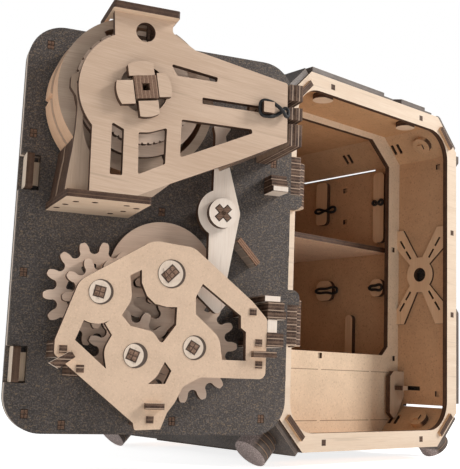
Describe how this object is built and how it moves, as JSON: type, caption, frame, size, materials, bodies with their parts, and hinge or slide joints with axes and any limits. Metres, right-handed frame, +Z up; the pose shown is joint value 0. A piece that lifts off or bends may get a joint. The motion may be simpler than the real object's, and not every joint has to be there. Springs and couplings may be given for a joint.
{
  "type": "wooden mechanical safe",
  "caption": "Wooden model safe with a hinged door that carries a dial lock, coupled code wheels, a gear train, a lever and sliding bolts.",
  "frame": {"origin": "on the floor that the feet stand on, midway between the feet, under the middle of the body", "axes": "+X to the right and +Y from the front to the back, seen from the front, +Z up; the open door lies out along -X"},
  "size_m": [0.2781, 0.1966, 0.2002],
  "materials": {
    "birch_ply": "fine-grained pale plywood, matt",
    "tan_board": "speckled tan hardboard, matt",
    "dark_board": "dark scuffed fibreboard, matt",
    "brown_board": "dark brown board, matt",
    "laminated_edge": "stacked sheets with scorched edges",
    "black_rubber": "matt black rubber"
  },
  "bodies": {
    "safe_body": {"front_frame": "birch_ply", "back_panel": "tan_board", "partition_panel": "tan_board", "left_wall": "tan_board", "right_wall": "tan_board", "ceiling_panel": "tan_board", "floor_panel": "tan_board", "corner_panels": "tan_board", "corner_caps": "birch_ply", "ceiling_lugs": "birch_ply", "wall_brace": "birch_ply", "stop_plate": "birch_ply", "shelf": "tan_board", "band_hooks": "tan_board", "elastic_bands": "black_rubber", "side_covers": "dark_board", "top_cover": "dark_board", "bottom_cover": "dark_board", "corner_covers": "dark_board", "cover_rails": "birch_ply", "front_feet": "dark_board", "rear_feet": "dark_board", "hinge_brackets": "laminated_edge", "hinge_pins": "birch_ply"},
    "door": {"door_outer_panel": "dark_board", "door_core": "birch_ply", "door_inner_panel": "dark_board", "hinge_leaves": "laminated_edge", "door_blocks": "laminated_edge", "case_front_plate": "birch_ply", "case_walls": "birch_ply", "case_top_bracket": "birch_ply", "case_bottom_bracket": "birch_ply", "case_blocks": "laminated_edge", "gear_plate": "tan_board", "gear_plate_posts": "laminated_edge", "lever_post": "birch_ply"},
    "dial": {"dial": "dark_board", "dial_shaft": "brown_board", "shaft_keys": "birch_ply", "drive_disc": "birch_ply"},
    "front_wheel": {"front_code_wheel": "birch_ply"},
    "rear_wheel": {"rear_code_wheel": "birch_ply"},
    "latch": {"latch_slider": "birch_ply", "rubber_band": "black_rubber"},
    "lever": {"lever": "birch_ply"},
    "handle": {"handle": "birch_ply", "drive_shaft": "brown_board", "lock_disc": "birch_ply", "drive_gear": "birch_ply"},
    "side_gears": {"side_gear": "birch_ply", "small_side_gear": "birch_ply", "side_gear_shaft": "brown_board"},
    "idler": {"idler_gear": "birch_ply", "idler_shaft": "brown_board"},
    "bolt_gears": {"bolt_gear": "birch_ply", "bolt_pinion": "birch_ply", "bolt_shaft": "brown_board"},
    "bolts": {"bolt_bar": "birch_ply", "bolt_plates": "birch_ply"}
  },
  "joints": [
    {"name": "door_swing", "type": "hinge", "parent": "safe_body", "child": "door", "pos_m": [-0.0693, -0.081, 0.1], "axis": [0, 0, 1], "range_deg": [0, 200.3]},
    {"name": "dial_turn", "type": "hinge", "parent": "door", "child": "dial", "pos_m": [-0.15924, -0.06342, 0.15386], "axis": [0.3469, 0.9379, 0], "continuous": true},
    {"name": "front_wheel_turn", "type": "hinge", "parent": "door", "child": "front_wheel", "pos_m": [-0.15924, -0.06342, 0.15386], "axis": [0.3469, 0.9379, 0], "continuous": true},
    {"name": "rear_wheel_turn", "type": "hinge", "parent": "door", "child": "rear_wheel", "pos_m": [-0.15924, -0.06342, 0.15386], "axis": [0.3469, 0.9379, 0], "continuous": true},
    {"name": "latch_slide", "type": "slide", "parent": "door", "child": "latch", "axis": [-0.9379, 0.3469, 0], "range_m": [0, 0.02]},
    {"name": "lever_swing", "type": "hinge", "parent": "door", "child": "lever", "pos_m": [-0.11844, -0.07852, 0.11146], "axis": [-0.3469, -0.9379, 0], "range_deg": [0, 5]},
    {"name": "handle_turn", "type": "hinge", "parent": "door", "child": "handle", "pos_m": [-0.14048, -0.07036, 0.08306], "axis": [0.3469, 0.9379, 0], "range_deg": [0, 90]},
    {"name": "side_gear_turn", "type": "hinge", "parent": "door", "child": "side_gears", "pos_m": [-0.16749, -0.06037, 0.07382], "axis": [0.3469, 0.9379, 0], "range_deg": [-51.6, 0]},
    {"name": "idler_turn", "type": "hinge", "parent": "door", "child": "idler", "pos_m": [-0.13004, -0.07422, 0.05346], "axis": [0.3469, 0.9379, 0], "range_deg": [-48.2, 0]},
    {"name": "bolt_gear_turn", "type": "hinge", "parent": "door", "child": "bolt_gears", "pos_m": [-0.15314, -0.06568, 0.04933], "axis": [0.3469, 0.9379, 0], "range_deg": [0, 38.8]},
    {"name": "bolt_slide", "type": "slide", "parent": "door", "child": "bolts", "axis": [-0.9379, 0.3469, 0], "range_m": [0, 0.00475]}
  ],
  "couplings": [
    {"joint": "front_wheel_turn", "follows": "dial_turn", "ratio": 1},
    {"joint": "rear_wheel_turn", "follows": "dial_turn", "ratio": 1},
    {"joint": "side_gear_turn", "follows": "handle_turn", "ratio": -0.57143},
    {"joint": "idler_turn", "follows": "handle_turn", "ratio": -0.53333},
    {"joint": "bolt_gear_turn", "follows": "handle_turn", "ratio": 0.42857},
    {"joint": "bolt_slide", "follows": "handle_turn", "m_per_rad": 0.003}
  ]
}
